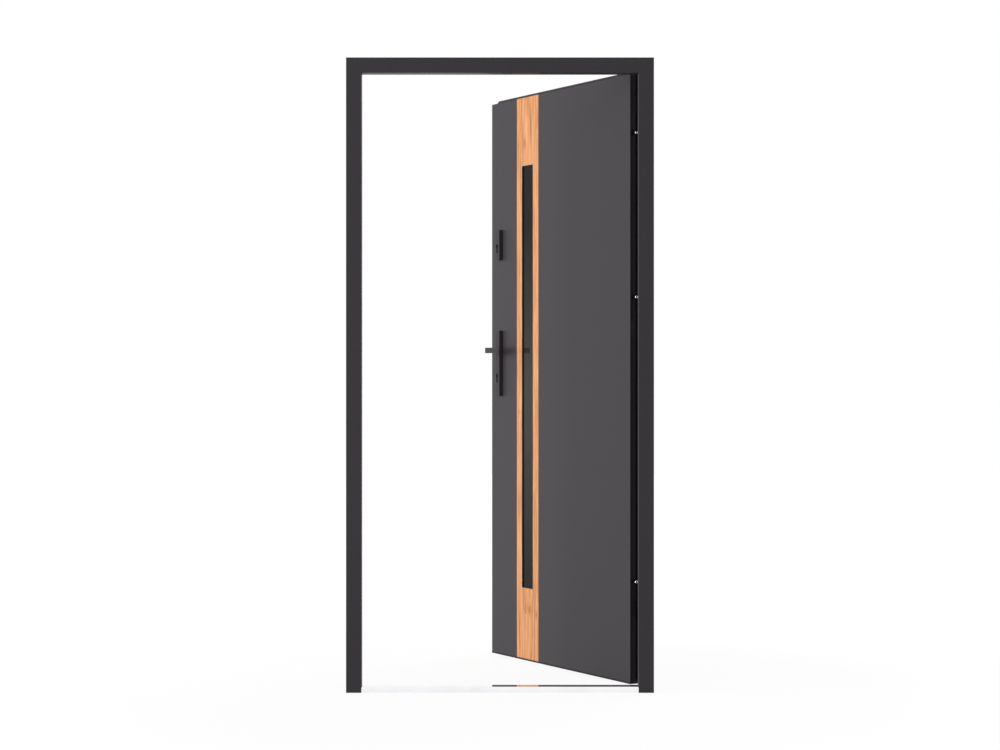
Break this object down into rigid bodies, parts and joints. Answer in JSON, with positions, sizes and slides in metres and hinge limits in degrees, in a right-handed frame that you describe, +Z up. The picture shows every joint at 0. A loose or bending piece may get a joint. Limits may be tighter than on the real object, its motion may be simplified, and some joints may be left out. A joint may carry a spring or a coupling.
{
  "type": "steel front door",
  "caption": "Steel front door in its frame, opened inwards, with an oak decor strip, a narrow dark glass slot, two locks and lever handles.",
  "frame": {"origin": "middle of the threshold's underside, halfway through the frame's depth", "axes": "+Z up, +X across the doorway towards the hinges, -Y outdoors and +Y indoors"},
  "size_m": [1, 0.9359, 2.063],
  "materials": {
    "frame_paint": "fine satin powder coat, anthracite",
    "leaf_paint": "fine satin powder coat, anthracite",
    "stainless": "brushed stainless steel",
    "dark_profile": "matt black plastic",
    "seal_rubber": "soft black rubber",
    "oak_decor": "smooth oak decor with lengthwise grain",
    "dark_glass": "dark reflective glass",
    "handle_paint": "fine satin coat, dark anthracite",
    "bright_steel": "turned bright nickel",
    "cylinder_black": "blackened steel",
    "core_foam": "rigid insulating foam"
  },
  "bodies": {
    "frame": {"frame_head": "frame_paint", "hinge_jamb": "frame_paint", "lock_jamb": "frame_paint", "threshold_cover": "stainless", "threshold_base": "dark_profile", "frame_seal": "seal_rubber", "main_strike_plate": "stainless", "upper_strike_plate": "stainless", "hinge_bottom_frame_wing": "stainless", "hinge_middle_frame_wing": "stainless", "hinge_top_frame_wing": "stainless", "hinge_pins": "bright_steel"},
    "leaf": {"outer_skin": "leaf_paint", "inner_skin": "leaf_paint", "leaf_core": "core_foam", "hinge_edge_profile": "dark_profile", "lock_edge_profile": "dark_profile", "top_edge_profile": "dark_profile", "bottom_edge_profile": "dark_profile", "lip_seal": "seal_rubber", "outer_decor_strip": "oak_decor", "inner_decor_strip": "oak_decor", "outer_glazing_frame": "dark_profile", "inner_glazing_frame": "dark_profile", "outer_pane": "dark_glass", "inner_pane": "dark_glass", "glass_spacer": "dark_profile", "security_pins": "bright_steel", "main_lock_faceplate": "stainless", "upper_lock_faceplate": "stainless", "main_lock_bolts": "bright_steel", "upper_lock_bolt": "bright_steel", "main_cylinder": "cylinder_black", "upper_cylinder": "cylinder_black", "outer_long_plate": "handle_paint", "inner_long_plate": "handle_paint", "outer_escutcheon": "handle_paint", "inner_escutcheon": "handle_paint", "hinge_bottom_door_wing": "stainless", "hinge_middle_door_wing": "stainless", "hinge_top_door_wing": "stainless"},
    "handle": {"outer_lever": "handle_paint", "inner_lever": "handle_paint", "spindle": "bright_steel"}
  },
  "joints": [
    {"name": "door_swing", "type": "hinge", "parent": "frame", "child": "leaf", "pos_m": [0.4884, 0.0622, 1.0315], "axis": [0, 0, -1], "range_deg": [-60, 40]},
    {"name": "lever_turn", "type": "hinge", "parent": "leaf", "child": "handle", "pos_m": [0.00321, 0.80017, 1.121], "axis": [0.866, 0.5, 0], "range_deg": [0, 45], "stiffness_Nm_per_rad": 1, "springref_deg": -45.84}
  ]
}
